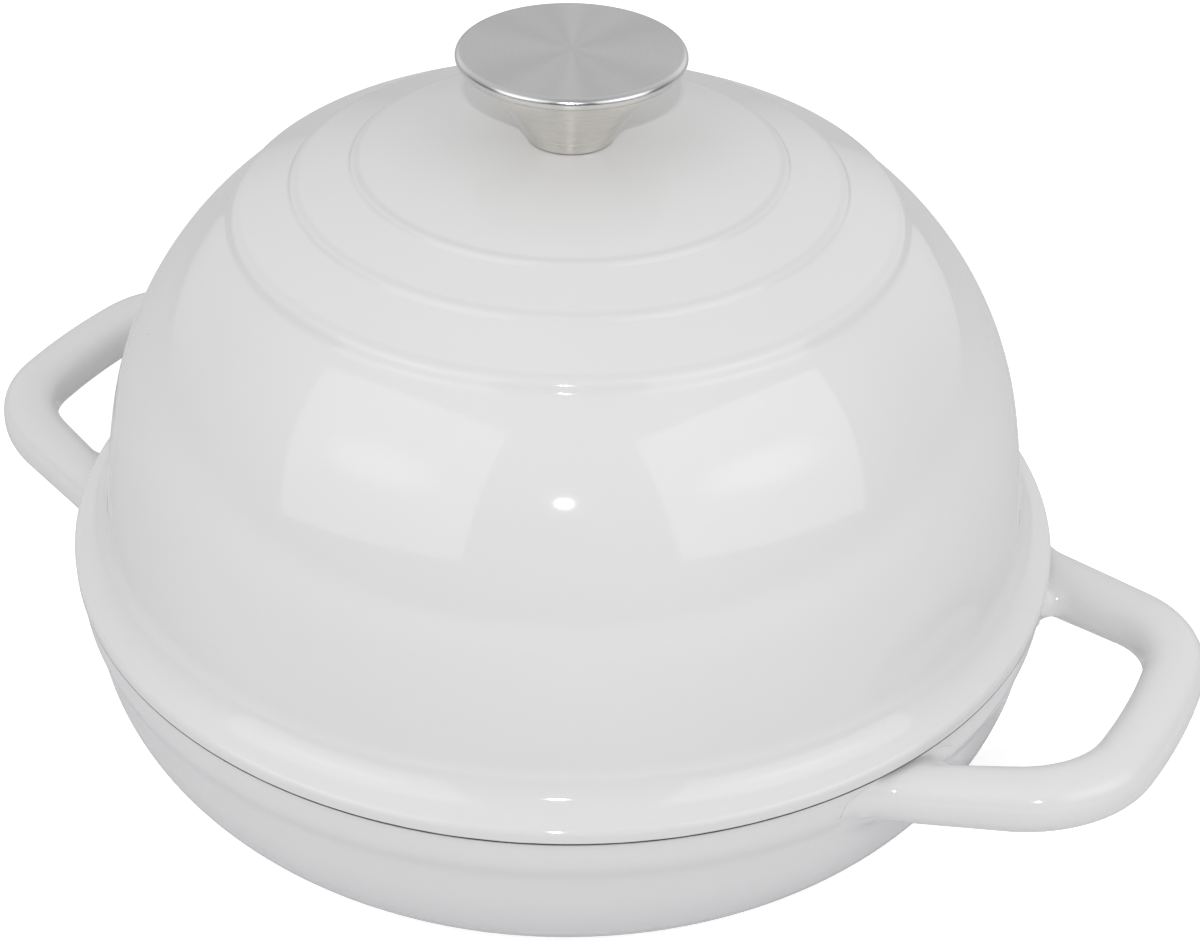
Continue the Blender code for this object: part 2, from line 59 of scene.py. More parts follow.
LID_RADIUS = LID_HIGH.x
CROWN_HEIGHT = LID_HIGH.z
LID_BOTTOM = LID_LOW.z + LOCATING_LIP_DEPTH
PAN_HEIGHT = LID_BOTTOM - FIT_GAP
PAN_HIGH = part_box("base_pan")[1]
KNOB_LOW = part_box("knob_body")[0]
DISC_LOW, DISC_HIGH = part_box("knob_top_disc")

# Pan
BAND_RADIUS = PAN_HIGH.y
BAND_HEIGHT = 0.0095
BAND_STEP = 0.0015
BAND_STEP_HEIGHT = 0.0014
BAND_STEP_SOFTNESS = 0.0036
BODY_LEAN = radians(8.1)
PAN_CORNER_RADIUS = 0.0424
RIM_THICKNESS = 0.0056
RIM_ROUNDING = 0.0007
PAN_WALL = 0.0042
PAN_FLOOR = 0.0046

# Loop handles
HANDLE_HALF_WIDTH = 0.0076
HANDLE_HALF_HEIGHT = 0.0069
HANDLE_REACH = PAN_HIGH.x - HANDLE_HALF_WIDTH
HANDLE_BEND_RADIUS = 0.0270
HANDLE_ROOT_SPREAD = 0.0490
HANDLE_LEG_SPLAY = radians(17.8)
HANDLE_LIFT = 0.0045
HANDLE_TOP_BELOW_RIM = 0.0003
HANDLE_INNER_FILLET = 0.0115
HANDLE_OUTER_FILLET = 0.0070
HANDLE_UNDER_FILLET = 0.0050
HANDLE_EMBED = 0.0022
HANDLE_SQUARENESS = 2.5

# Lid
LID_EDGE_ROUNDING = 0.0007
LID_LIP_HEIGHT = 0.0030
LID_LIP_ROUNDING = 0.0016
LID_LIP_SLOPE = radians(26.0)
LID_LIP_FILLET = 0.0122
LID_WALL_INSET = 0.0096
LID_WALL_LEAN = radians(5.0)
LID_WALL_BOW = 0.2230
LID_WALL_HEIGHT = 0.0409
LID_SHOULDER_RADIUS = 0.0876
LID_WALL = 0.0042
LOCATING_LIP_CLEARANCE = 0.0010
LOCATING_LIP_THICKNESS = 0.0048
LOCATING_LIP_CHAMFER = 0.0012

# Lid's moulded steps, outermost first, and the terraces above them
STEP_FEET = (0.0853, 0.0699, 0.0549)
STEP_EDGES = (0.0820, 0.0675, 0.0525)
STEP_DROPS = (0.00369, 0.00174, 0.00145)
STEP_FOOT_SOFTNESS = 0.50
STEP_EDGE_SOFTNESS = 0.70
TERRACE_SLOPES = (radians(24.6), radians(16.8), radians(7.1))

# Lid's ceiling and the crown that the screw goes through
CEILING_EDGE = 0.0813
CEILING_TURN = radians(6.0)
CROWN_THICKNESS = 0.0042
SCREW_HOLE_RADIUS = 0.0034

# Knob
KNOB_FOOT_RADIUS = 0.0109
KNOB_FOOT_ROUNDING = 0.0006
KNOB_SEAT_MARGIN = 0.0016
KNOB_SHEET = 0.0014
KNOB_RIM_ROUNDING = 0.0015
KNOB_POLISH_END = radians(-2.0)
KNOB_JOINT = 0.00005
KNOB_SPIGOT_WIDTH = 0.0020
KNOB_FOOT_RISE = radians(62.0)
KNOB_FOOT_REACH = 0.0092
KNOB_MOUTH_RISE = radians(35.0)
KNOB_MOUTH_REACH = 0.0095

# Fineness of the drawn pieces
CASTING_SEGMENTS = 256
KNOB_SEGMENTS = 160
HANDLE_SECTION_POINTS = 40
HANDLE_FILLET_STEPS = 10
HANDLE_BEND_STEPS = 20
HANDLE_BAR_STEPS = 8
PAN_FLAT_RINGS = 6
DISC_FACE_RINGS = 12
EDGE_STEPS = 6
EDGE_MIDDLE = EDGE_STEPS // 2
ON_AXIS = 1e-6
SHARP_ANGLE = radians(35.0)

# Where the castings' finishes and the knob disc's finishes lie in their lists
WHITE, RIM_COAT, LINING = range(3)
DISC_FACE, DISC_EDGE, DISC_UNDERSIDE = range(3)

# Patterns in the finishes: how fine the enamel's are, and how the rings on turned steel run
WAVE_SCALE = 24.0
PEEL_SCALE = 260.0
SHADE_SCALE = 11.0
SPECK_SCALE = 38.0
GLOSS_SCALE = 35.0
RING_WOBBLE_SCALE = 60.0
RING_WOBBLE = 0.00004
RINGS_UP_THE_FLANK = 1.3
BROAD_RINGS_PER_METRE = 700.0
FINE_RING_SHARE = 0.85

# Darker lines over the lid's lower edge and the steps' edges: part thinned enamel and rim coat, part painted
# shade
THIN_ENAMEL_AND_SHADE = (0.035, 0.035, 0.037, 1.0)
RIM_COAT_AND_GAP_SHADE_HEIGHT = 0.0008
RIM_FADE = 0.0002
STEP_LINE_WIDTH = 0.0002
STEP_LINE_FADE = 0.0012
STEP_LINE_DARKNESS = (0.03, 0.045, 0.07)
LINE_WAVER = 0.0002
LINE_WAVER_SCALE = 150.0

# Camera, from the photo: its place, where it points and its lens
CAMERA_PLACE = Vector((0.2585, -0.4601, 0.4377))
CAMERA_AZIMUTH = radians(28.323)
CAMERA_PITCH = radians(34.786)
CAMERA_ROLL = radians(1.435)
CAMERA_LENS = 71.916
SENSOR_WIDTH = 36.0

# Studio. Each light is (azimuth, elevation, strength), with the azimuth in degrees from the camera's side,
# positive to its right. The softboxes and the lamp face a point on the lid's axis.
FLOOR_HALF_WIDTH = 6.0
FLOOR_COLOUR = (0.78, 0.78, 0.795)
FLOOR_GLOW = 0.60
TENT_FOCUS = 6.0
TENT_LAMPS = {
    "front_high": (0.0, 55.0, 0.11),
    "left_high": (-75.0, 50.0, 0.76),
    "right_high": (75.0, 50.0, 0.58),
    "back_high": (180.0, 55.0, 0.56),
    "back_left": (-140.0, 12.0, 0.82),
    "back_right": (140.0, 12.0, 0.94),
}
LEFT_SOFTBOX = (-51.0, 32.5, 2.86)
LEFT_SOFTBOX_SIZE = (1.05, 0.95)
LEFT_SOFTBOX_ROLL = radians(13.3)
RIGHT_SOFTBOX = (54.8, 31.5, 3.29)
RIGHT_SOFTBOX_SIZE = (1.10, 0.90)
RIGHT_SOFTBOX_ROLL = radians(-12.2)
SOFTBOX_DISTANCE = 1.2
SOFTBOX_GAIN = 1.0
HOT_MIDDLE_SQUEEZE = (2.6, 6.0)
FRONT_LAMP = (-0.5, 36.6, 4340.0)
FRONT_LAMP_SIZE = (0.130, 0.045)
FRONT_LAMP_DISTANCE = 3.09
LIGHT_TARGET_HEIGHT = 0.12


def arc(centre, radius, start, end, steps):
    """Points (r, z) on a circle from one angle to another, both ends included."""
    turn = (end - start) / steps
    return [
        (centre[0] + radius * cos(start + turn * k), centre[1] + radius * sin(start + turn * k))
        for k in range(steps + 1)
    ]


def bezier(start, leave, arrive, end, points):
    """Points (r, z) on a curve that leaves its start and arrives at its end along two handles."""
    curve = interpolate_bezier(*[Vector((r, z, 0.0)) for r, z in (start, leave, arrive, end)], points)
    return [(p.x, p.y) for p in curve]


def radius_at(outline, height):
    """Radius of an outline of (r, z) points, lowest first, at a height."""
    for (low_radius, low), (high_radius, high) in zip(outline, outline[1:]):
        if low <= height <= high:
            return low_radius + (high_radius - low_radius) * (height - low) / (high - low)
    return outline[-1][0]


def shade_smooth(mesh):
    mesh.shade_smooth()
    mesh.set_sharp_from_angle(angle=SHARP_ANGLE)


def add_piece(name, mesh, body, node):
    """A drawn piece that rides on a body and stands for a solid."""
    piece = bpy.data.objects.new(name, mesh)
    bpy.context.scene.collection.objects.link(piece)
    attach(piece, body)
    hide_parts(node)
    return piece


def turned_mesh(name, spans, materials, segments):
    """A body turned round the Z axis.

    Each span is (material's place in the list, points as (r, z)), and starts where the one before it ends. A
    body with a hole along its axis closes back on its first point.
    """
    outline = []
    places = []
    for place, points in spans:
        places += [place] * (len(points) - 1)
        outline += points[1:] if outline else points
    work = bmesh.new()
    rings = []
    for r, z in outline:
        if r < ON_AXIS:
            rings.append([work.verts.new((0.0, 0.0, z))] * segments)
            continue
        angles = [2 * pi * k / segments for k in range(segments)]
        rings.append([work.verts.new((r * cos(a), r * sin(a), z)) for a in angles])
    if outline[0][0] > ON_AXIS:
        rings.append(rings[0])
        places.append(places[-1])
    for place, one, two in zip(places, rings, rings[1:]):
        for k in range(segments):
            corners = [one[k], one[(k + 1) % segments], two[(k + 1) % segments], two[k]]
            face = work.faces.new(list(dict.fromkeys(corners)))
            face.material_index = place
    bmesh.ops.recalc_face_normals(work, faces=work.faces)
    mesh = bpy.data.meshes.new(name)
    work.to_mesh(mesh)
    work.free()
    for material in materials:
        mesh.materials.append(material)
    shade_smooth(mesh)
    return mesh


def capped_tube(name, rings):
    """A closed mesh through rings that have the same number of points, with a face over each end."""
    work = bmesh.new()
    loops = [[work.verts.new(point) for point in ring] for ring in rings]
    count = len(rings[0])
    for one, two in zip(loops, loops[1:]):
        for k in range(count):
            work.faces.new((one[k], one[(k + 1) % count], two[(k + 1) % count], two[k]))
    work.faces.new(loops[0])
    work.faces.new(loops[-1])
    bmesh.ops.recalc_face_normals(work, faces=work.faces)
    mesh = bpy.data.meshes.new(name)
    work.to_mesh(mesh)
    work.free()
    shade_smooth(mesh)
    return mesh


# Shader groups that several finishes share


def new_group(name, inputs, outputs):
    """An empty shader group. Each input is (name, kind, start value), and each output is (name, kind)."""
    group = bpy.data.node_groups.new(name, "ShaderNodeTree")
    for label, kind, value in inputs:
        socket = group.interface.new_socket(label, in_out="INPUT", socket_type="NodeSocket" + kind)
        socket.default_value = value
    for label, kind in outputs:
        group.interface.new_socket(label, in_out="OUTPUT", socket_type="NodeSocket" + kind)
    return group, group.nodes.new("NodeGroupInput"), group.nodes.new("NodeGroupOutput")


def noise(tree, place, scale, detail=2.0, roughness=0.5, dimensions="3D"):
    node = tree.nodes.new("ShaderNodeTexNoise")
    node.noise_dimensions = dimensions
    node.inputs["Scale"].default_value = scale
    node.inputs["Detail"].default_value = detail
    node.inputs["Roughness"].default_value = roughness
    tree.links.new(place, node.inputs["W" if dimensions == "1D" else "Vector"])
    return node.outputs["Fac"]


def maths(tree, operation, *values):
    node = tree.nodes.new("ShaderNodeMath")
    node.operation = operation
    for socket, value in zip(node.inputs, values):
        if isinstance(value, (int, float)):
            socket.default_value = value
        else:
            tree.links.new(value, socket)
    return node.outputs[0]


def spread(tree, value, low, high, to_low, to_high):
    """The value's range from low to high, turned into a smooth range from to_low to to_high."""
    node = tree.nodes.new("ShaderNodeMapRange")
    node.interpolation_type = "SMOOTHSTEP"
    tree.links.new(value, node.inputs["Value"])
    for label, bound in (("From Min", low), ("From Max", high), ("To Min", to_low), ("To Max", to_high)):
        if isinstance(bound, (int, float)):
            node.inputs[label].default_value = bound
        else:
            tree.links.new(bound, node.inputs[label])
    return node.outputs["Result"]


def mixed(tree, share, one, two):
    """One colour blended into another by a share."""
    node = tree.nodes.new("ShaderNodeMix")
    node.data_type = "RGBA"
    tree.links.new(share, node.inputs["Factor"])
    tree.links.new(one, node.inputs["A"])
    tree.links.new(two, node.inputs["B"])
    return node.outputs["Result"]


def bump(tree, height, depth, normal=None):
    node = tree.nodes.new("ShaderNodeBump")
    node.inputs["Strength"].default_value = 1.0
    tree.links.new(height, node.inputs["Height"])
    tree.links.new(depth, node.inputs["Distance"])
    if normal:
        tree.links.new(normal, node.inputs["Normal"])
    return node.outputs["Normal"]


def object_place(tree):
    return tree.nodes.new("ShaderNodeTexCoord").outputs["Object"]


def enamel_group():
    """Fired enamel: a soft wave over the casting, a fine peel, a little shade and rare dark specks."""
    group, given, out = new_group(
        "fired_enamel",
        [
            ("Colour", "Color", (0.8, 0.8, 0.8, 1.0)),
            ("Shade colour", "Color", (0.75, 0.75, 0.75, 1.0)),
            ("Speck colour", "Color", (0.2, 0.2, 0.2, 1.0)),
            ("Speck size", "Float", 0.01),
            ("Low roughness", "Float", 0.06),
            ("High roughness", "Float", 0.12),
            ("Wave depth", "Float", 0.0001),
            ("Peel depth", "Float", 0.00001),
        ],
        [("Colour", "Color"), ("Roughness", "Float"), ("Normal", "Vector")],
    )
    place = object_place(group)
    wave = noise(group, place, WAVE_SCALE, 1.0)
    peel = noise(group, place, PEEL_SCALE, 2.0)
    drift = noise(group, place, SHADE_SCALE, 3.0)
    shade = spread(group, drift, 0.35, 0.70, 0.0, 1.0)
    shaded = mixed(group, shade, given.outputs["Colour"], given.outputs["Shade colour"])
    specks = group.nodes.new("ShaderNodeTexVoronoi")
    specks.inputs["Scale"].default_value = SPECK_SCALE
    group.links.new(place, specks.inputs["Vector"])
    edge = maths(group, "MULTIPLY", given.outputs["Speck size"], 0.5)
    speck = spread(group, specks.outputs["Distance"], edge, given.outputs["Speck size"], 1.0, 0.0)
    specked = mixed(group, speck, shaded, given.outputs["Speck colour"])
    group.links.new(specked, out.inputs["Colour"])
    patches = noise(group, place, GLOSS_SCALE, 4.0)
    gloss = spread(group, patches, 0.3, 0.7, given.outputs["Low roughness"], given.outputs["High roughness"])
    group.links.new(gloss, out.inputs["Roughness"])
    waved = bump(group, wave, given.outputs["Wave depth"])
    peeled = bump(group, peel, given.outputs["Peel depth"], waved)
    group.links.new(peeled, out.inputs["Normal"])
    return group


def thin_enamel_and_shade_group():
    """Enamel darkened on both sides of a line with a soft fade, as thinned enamel and painted shade."""
    group, given, out = new_group(
        "thin_enamel_and_shade_line",
        [
            ("Colour", "Color", (0.8, 0.8, 0.8, 1.0)),
            ("Thin and shade colour", "Color", (0.3, 0.3, 0.3, 1.0)),
            ("Along", "Float", 0.0),
            ("Line", "Float", 0.0),
            ("Half width", "Float", 0.0005),
            ("Fade", "Float", 0.0005),
            ("Share", "Float", 1.0),
        ],
        [("Colour", "Color")],
    )
    away = maths(group, "ABSOLUTE", maths(group, "SUBTRACT", given.outputs["Along"], given.outputs["Line"]))
    uneven = noise(group, object_place(group), LINE_WAVER_SCALE, 2.0)
    away = maths(group, "MULTIPLY_ADD", uneven, LINE_WAVER, maths(group, "SUBTRACT", away, LINE_WAVER / 2))
    edge = maths(group, "ADD", given.outputs["Half width"], given.outputs["Fade"])
    share = spread(group, away, given.outputs["Half width"], edge, given.outputs["Share"], 0.0)
    thinned_and_shaded = mixed(group, share, given.outputs["Colour"], given.outputs["Thin and shade colour"])
    group.links.new(thinned_and_shaded, out.inputs["Colour"])
    return group


def turned_steel_group():
    """Steel turned or brushed round its axis: fine rings that vary in tone, gloss and depth."""
    group, given, out = new_group(
        "turned_steel",
        [
            ("Colour", "Color", (0.6, 0.6, 0.6, 1.0)),
            ("Groove colour", "Color", (0.5, 0.5, 0.5, 1.0)),
            ("Rings per metre", "Float", 4000.0),
            ("Low roughness", "Float", 0.25),
            ("High roughness", "Float", 0.35),
            ("Groove depth", "Float", 0.000004),
        ],
        [("Colour", "Color"), ("Roughness", "Float"), ("Normal", "Vector")],
    )
    height = height_above_table(group)
    along = maths(group, "MULTIPLY_ADD", height, RINGS_UP_THE_FLANK, distance_from_axis(group))
    wobble = noise(group, object_place(group), RING_WOBBLE_SCALE, 2.0)
    along = maths(group, "MULTIPLY_ADD", wobble, RING_WOBBLE, along)
    fine_rings = maths(group, "MULTIPLY", along, given.outputs["Rings per metre"])
    fine = noise(group, fine_rings, 1.0, 3.0, 0.7, "1D")
    broad_rings = maths(group, "MULTIPLY", along, BROAD_RINGS_PER_METRE)
    broad = noise(group, broad_rings, 1.0, 2.0, 0.5, "1D")
    broad_tone = maths(group, "MULTIPLY", broad, 1 - FINE_RING_SHARE)
    tone = maths(group, "MULTIPLY_ADD", fine, FINE_RING_SHARE, broad_tone)
    share = spread(group, tone, 0.35, 0.65, 0.0, 1.0)
    toned = mixed(group, share, given.outputs["Colour"], given.outputs["Groove colour"])
    group.links.new(toned, out.inputs["Colour"])
    gloss = spread(group, tone, 0.3, 0.7, given.outputs["Low roughness"], given.outputs["High roughness"])
    group.links.new(gloss, out.inputs["Roughness"])
    group.links.new(bump(group, fine, given.outputs["Groove depth"]), out.inputs["Normal"])
    return group


def darken_as_thin_enamel_and_shade(material, group, along, lines):
    """Darkens enamel along lines of (place, half width, fade, share) in a socket: thin enamel, painted
    shade.
    """
    tree = material.node_tree
    base = tree.nodes["Principled BSDF"].inputs["Base Color"]
    for place, half_width, fade, share in lines:
        placed = tree.nodes.new("ShaderNodeGroup")
        placed.node_tree = group
        placed.inputs["Thin and shade colour"].default_value = THIN_ENAMEL_AND_SHADE
        for label, value in (("Line", place), ("Half width", half_width), ("Fade", fade), ("Share", share)):
            placed.inputs[label].default_value = value
        tree.links.new(base.links[0].from_socket, placed.inputs["Colour"])
        tree.links.new(along(tree), placed.inputs["Along"])
        tree.links.new(placed.outputs["Colour"], base)


def height_above_table(tree):
    parts = tree.nodes.new("ShaderNodeSeparateXYZ")
    tree.links.new(object_place(tree), parts.inputs[0])
    return parts.outputs["Z"]


def distance_from_axis(tree):
    parts = tree.nodes.new("ShaderNodeSeparateXYZ")
    tree.links.new(object_place(tree), parts.inputs[0])
    squares = [maths(tree, "MULTIPLY", parts.outputs[k], parts.outputs[k]) for k in (0, 1)]
    return maths(tree, "SQRT", maths(tree, "ADD", *squares))


def finish(name, group, values, metallic=0.0, anisotropy=0.0):
    """A material that places a shared group with its own values."""
    material = bpy.data.materials.new(name)
    material.use_nodes = True
    tree = material.node_tree
    shader = tree.nodes["Principled BSDF"]
    placed = tree.nodes.new("ShaderNodeGroup")
    placed.node_tree = group
    for label, value in values.items():
        placed.inputs[label].default_value = (*value, 1.0) if isinstance(value, tuple) else value
    tree.links.new(placed.outputs["Colour"], shader.inputs["Base Color"])
    tree.links.new(placed.outputs["Roughness"], shader.inputs["Roughness"])
    tree.links.new(placed.outputs["Normal"], shader.inputs["Normal"])
    shader.inputs["Metallic"].default_value = metallic
    if anisotropy:
        shader.inputs["Anisotropic"].default_value = anisotropy
        shader.inputs["Anisotropic Rotation"].default_value = 0.25
        tangent = tree.nodes.new("ShaderNodeTangent")
        tangent.direction_type = "RADIAL"
        tangent.axis = "Z"
        tree.links.new(tangent.outputs["Tangent"], shader.inputs["Tangent"])
    return material


# Outlines of the castings


def wall_top():
    """Where the pan's leaning wall meets the step under its rim band, as (r, z)."""
    return BAND_RADIUS - BAND_STEP, PAN_HEIGHT - BAND_HEIGHT - BAND_STEP_HEIGHT


def pan_outer_radius(height):
    """Radius of the pan's outside at a height on its band or its leaning wall."""
    wall_radius, wall_height = wall_top()
    if height >= PAN_HEIGHT - BAND_HEIGHT:
        return BAND_RADIUS
    return wall_radius - max(wall_height - height, 0.0) * tan(BODY_LEAN)


def pan_spans():
    """The pan's outline in spans of lining, rim coat and white, from its floor over the rim and under."""
    wall_radius, wall_height = wall_top()
    drop = wall_height - PAN_CORNER_RADIUS * (1 - sin(BODY_LEAN))
    centre = (wall_radius - drop * tan(BODY_LEAN) - PAN_CORNER_RADIUS * cos(BODY_LEAN), PAN_CORNER_RADIUS)
    inner_corner = PAN_CORNER_RADIUS - PAN_WALL
    inner_centre = (centre[0], PAN_FLOOR + inner_corner)
    rim_inner = BAND_RADIUS - RIM_THICKNESS
    rounding_height = PAN_HEIGHT - RIM_ROUNDING
    floor = [(inner_centre[0] * k / PAN_FLAT_RINGS, PAN_FLOOR) for k in range(PAN_FLAT_RINGS)]
    lining = floor + arc(inner_centre, inner_corner, -pi / 2, -BODY_LEAN, 20)
    lining += [(rim_inner, rounding_height)]
    coat = arc((rim_inner + RIM_ROUNDING, rounding_height), RIM_ROUNDING, pi, pi / 2, 5)
    outer_rounding = arc((BAND_RADIUS - RIM_ROUNDING, rounding_height), RIM_ROUNDING, pi / 2, 0, EDGE_STEPS)
    coat += outer_rounding[:EDGE_MIDDLE + 1]
    soft = BAND_STEP_SOFTNESS
    step = bezier(
        (BAND_RADIUS, PAN_HEIGHT - BAND_HEIGHT + soft),
        (BAND_RADIUS, PAN_HEIGHT - BAND_HEIGHT),
        (wall_radius, wall_height),
        (wall_radius - soft * tan(BODY_LEAN), wall_height - soft),
        9,
    )
    underside = [(centre[0] * k / PAN_FLAT_RINGS, 0.0) for k in reversed(range(PAN_FLAT_RINGS))]
    white = outer_rounding[EDGE_MIDDLE:] + [(BAND_RADIUS, PAN_HEIGHT - BAND_HEIGHT / 2)] + step
    white += arc(centre, PAN_CORNER_RADIUS, -BODY_LEAN, -pi / 2, 28) + underside
    return [(LINING, lining), (RIM_COAT, lining[-1:] + coat[1:]), (WHITE, white)]


def lip_outline():
    """The lid's lip from its edge at the seam up to the wall."""
    centre = (LID_RADIUS - LID_LIP_ROUNDING, LID_BOTTOM + LID_LIP_HEIGHT)
    nose = arc(centre, LID_LIP_ROUNDING, 0.0, pi / 2 - LID_LIP_SLOPE, 10)
    inset = LID_LIP_FILLET * (cos(LID_WALL_LEAN) - sin(LID_LIP_SLOPE))
    flat = LID_WALL_INSET - (LID_RADIUS - nose[-1][0]) - inset
    start = (nose[-1][0] - flat, nose[-1][1] + flat * tan(LID_LIP_SLOPE))
    pivot = (start[0] + LID_LIP_FILLET * sin(LID_LIP_SLOPE), start[1] + LID_LIP_FILLET * cos(LID_LIP_SLOPE))
    fillet = arc(pivot, LID_LIP_FILLET, -pi / 2 - LID_LIP_SLOPE, -pi + LID_WALL_LEAN, 14)
    return nose + fillet


def wall_end():
    """Where the lid's wall turns into its shoulder, as (r, z), with the wall's lean there."""
    foot_radius, foot = lip_outline()[-1]
    rise = PAN_HEIGHT + LID_WALL_HEIGHT - foot
    lean = asin(sin(LID_WALL_LEAN) + rise / LID_WALL_BOW)
    return foot_radius - LID_WALL_BOW * (cos(LID_WALL_LEAN) - cos(lean)), foot + rise, lean


def wall_centre():
    radius, height = lip_outline()[-1]
    return radius - LID_WALL_BOW * cos(LID_WALL_LEAN), height - LID_WALL_BOW * sin(LID_WALL_LEAN)


def shoulder_centre():
    radius, height, lean = wall_end()
    return radius - LID_SHOULDER_RADIUS * cos(lean), height - LID_SHOULDER_RADIUS * sin(lean)


def shoulder_angle(radius, shoulder_radius):
    """Angle on the shoulder's arc at a radius from the axis."""
    return pi / 2 - asin((radius - shoulder_centre()[0]) / shoulder_radius)


def steps_outline():
    """The moulded steps and terraces, from the shoulder inwards, and the crown, level at the knob."""
    angle = shoulder_angle(STEP_FEET[0], LID_SHOULDER_RADIUS)
    height = shoulder_centre()[1] + LID_SHOULDER_RADIUS * sin(angle)
    slope_below = pi / 2 - angle
    points = []
    terrace_ends = (*STEP_FEET[1:], KNOB_FOOT_RADIUS + KNOB_SEAT_MARGIN)
    steps = zip(STEP_FEET, STEP_EDGES, STEP_DROPS, TERRACE_SLOPES, terrace_ends)
    for foot_radius, edge_radius, drop, slope, inner_radius in steps:
        run = foot_radius - edge_radius
        foot = (foot_radius, height)
        edge = (edge_radius, height + drop)
        low = run * STEP_FOOT_SOFTNESS
        high = run * STEP_EDGE_SOFTNESS
        leave = (foot[0] - low, foot[1] + low * tan(slope_below))
        points += bezier(foot, leave, (edge[0] + high, edge[1] - high * tan(slope)), edge, 16)
        inner = (inner_radius, edge[1] + (edge_radius - inner_radius) * tan(slope))
        height = inner[1]
        slope_below = slope
    bow = (edge_radius - inner_radius) / 3
    crown_start = (edge_radius - bow, edge[1] + bow * tan(2 * slope))
    return points + bezier(edge, crown_start, (inner_radius + bow, height), inner, 14)[1:]


def lid_spans():
    """The lid's outline in spans of white, rim coat and lining, from the crown's hole out, down and back."""
    hole_top = (SCREW_HOLE_RADIUS, CROWN_HEIGHT)
    lean = wall_end()[2]
    wall = arc(wall_centre(), LID_WALL_BOW, LID_WALL_LEAN, lean, 10)
    foot_angle = shoulder_angle(STEP_FEET[0], LID_SHOULDER_RADIUS)
    shoulder = arc(shoulder_centre(), LID_SHOULDER_RADIUS, lean, foot_angle, 26)
    edge_centre = (LID_RADIUS - LID_EDGE_ROUNDING, LID_BOTTOM + LID_EDGE_ROUNDING)
    edge = arc(edge_centre, LID_EDGE_ROUNDING, -pi / 2, 0.0, EDGE_STEPS)
    upwards = edge[EDGE_MIDDLE:] + lip_outline()[:-1] + wall[:-1] + shoulder[:-1] + steps_outline()
    lip_outer = BAND_RADIUS - RIM_THICKNESS - LOCATING_LIP_CLEARANCE
    lip_inner = lip_outer - LOCATING_LIP_THICKNESS
    lip_foot = LID_BOTTOM - LOCATING_LIP_DEPTH
    outer_turn = (lip_outer - LOCATING_LIP_CHAMFER, lip_foot + LOCATING_LIP_CHAMFER)
    inner_turn = (lip_inner + LOCATING_LIP_CHAMFER, lip_foot + LOCATING_LIP_CHAMFER)
    coat = edge[:EDGE_MIDDLE + 1][::-1] + [(lip_outer, LID_BOTTOM)]
    coat += arc(outer_turn, LOCATING_LIP_CHAMFER, 0.0, -pi / 2, 5)
    coat += arc(inner_turn, LOCATING_LIP_CHAMFER, -pi / 2, -pi, 5)
    inner_wall = arc(wall_centre(), LID_WALL_BOW - LID_WALL, LID_WALL_LEAN, lean, 8)
    inner_shoulder = LID_SHOULDER_RADIUS - LID_WALL
    top_angle = shoulder_angle(CEILING_EDGE, inner_shoulder) + CEILING_TURN
    lining = inner_wall[:-1] + arc(shoulder_centre(), inner_shoulder, lean, top_angle, 20)
    end = lining[-1]
    seat = (KNOB_FOOT_RADIUS + KNOB_SEAT_MARGIN, CROWN_HEIGHT - CROWN_THICKNESS)
    reach = (end[0] - seat[0]) / 3
    leave = (end[0] - reach, end[1] + reach * tan(pi / 2 - top_angle))
    lining += bezier(end, leave, (seat[0] + reach, seat[1]), seat, 16)[1:]
    lining += [(SCREW_HOLE_RADIUS, seat[1])]
    return [(WHITE, [hole_top] + upwards[::-1]), (RIM_COAT, coat), (LINING, coat[-1:] + lining)]


# Loop handles


def handle_path():
    """Half of the handle's middle line, from the pan's wall to the middle of the bar, as (x, y) points."""
    foot = Vector((sqrt(BAND_RADIUS**2 - HANDLE_ROOT_SPREAD**2), HANDLE_ROOT_SPREAD))
    along = Vector((cos(HANDLE_LEG_SPLAY), -sin(HANDLE_LEG_SPLAY)))
    inward = Vector((-sin(HANDLE_LEG_SPLAY), -cos(HANDLE_LEG_SPLAY)))
    offset = foot + inward * HANDLE_BEND_RADIUS
    half = offset.dot(along)
    leg = -half + sqrt(half**2 - offset.length_squared + (HANDLE_REACH - HANDLE_BEND_RADIUS) ** 2)
    centre = offset + along * leg
    leg_angle = atan2(-inward.y, -inward.x)
    bar_angle = atan2(centre.y, centre.x)
    sweep = bar_angle - leg_angle
    turns = [leg_angle + sweep * k / HANDLE_BEND_STEPS for k in range(HANDLE_BEND_STEPS + 1)]
    bend = [centre + HANDLE_BEND_RADIUS * Vector((cos(a), sin(a))) for a in turns]
    turns = [bar_angle * (1 - k / HANDLE_BAR_STEPS) for k in range(1, HANDLE_BAR_STEPS + 1)]
    bar = [HANDLE_REACH * Vector((cos(a), sin(a))) for a in turns]
    return foot, along, bend + bar


def handle_height(x):
    """Height of the handle's middle line: level at the wall, then rising smoothly to the bar."""
    root = PAN_HEIGHT - HANDLE_TOP_BELOW_RIM - HANDLE_HALF_HEIGHT
    share = min(max((x - LID_RADIUS) / (HANDLE_REACH - LID_RADIUS), 0.0), 1.0)
    return root + HANDLE_LIFT * (share + share**2 * (1 - share))


def handle_section():
    """Offsets (across, up) round the handle's rounded-square section."""
    power = 2 / HANDLE_SQUARENESS
    points = []
    for k in range(HANDLE_SECTION_POINTS):
        angle = 2 * pi * k / HANDLE_SECTION_POINTS
        across = abs(cos(angle)) ** power * (1 if cos(angle) >= 0 else -1)
        up = abs(sin(angle)) ** power * (1 if sin(angle) >= 0 else -1)
        points.append((HANDLE_HALF_WIDTH * across, HANDLE_HALF_HEIGHT * up))
    return points


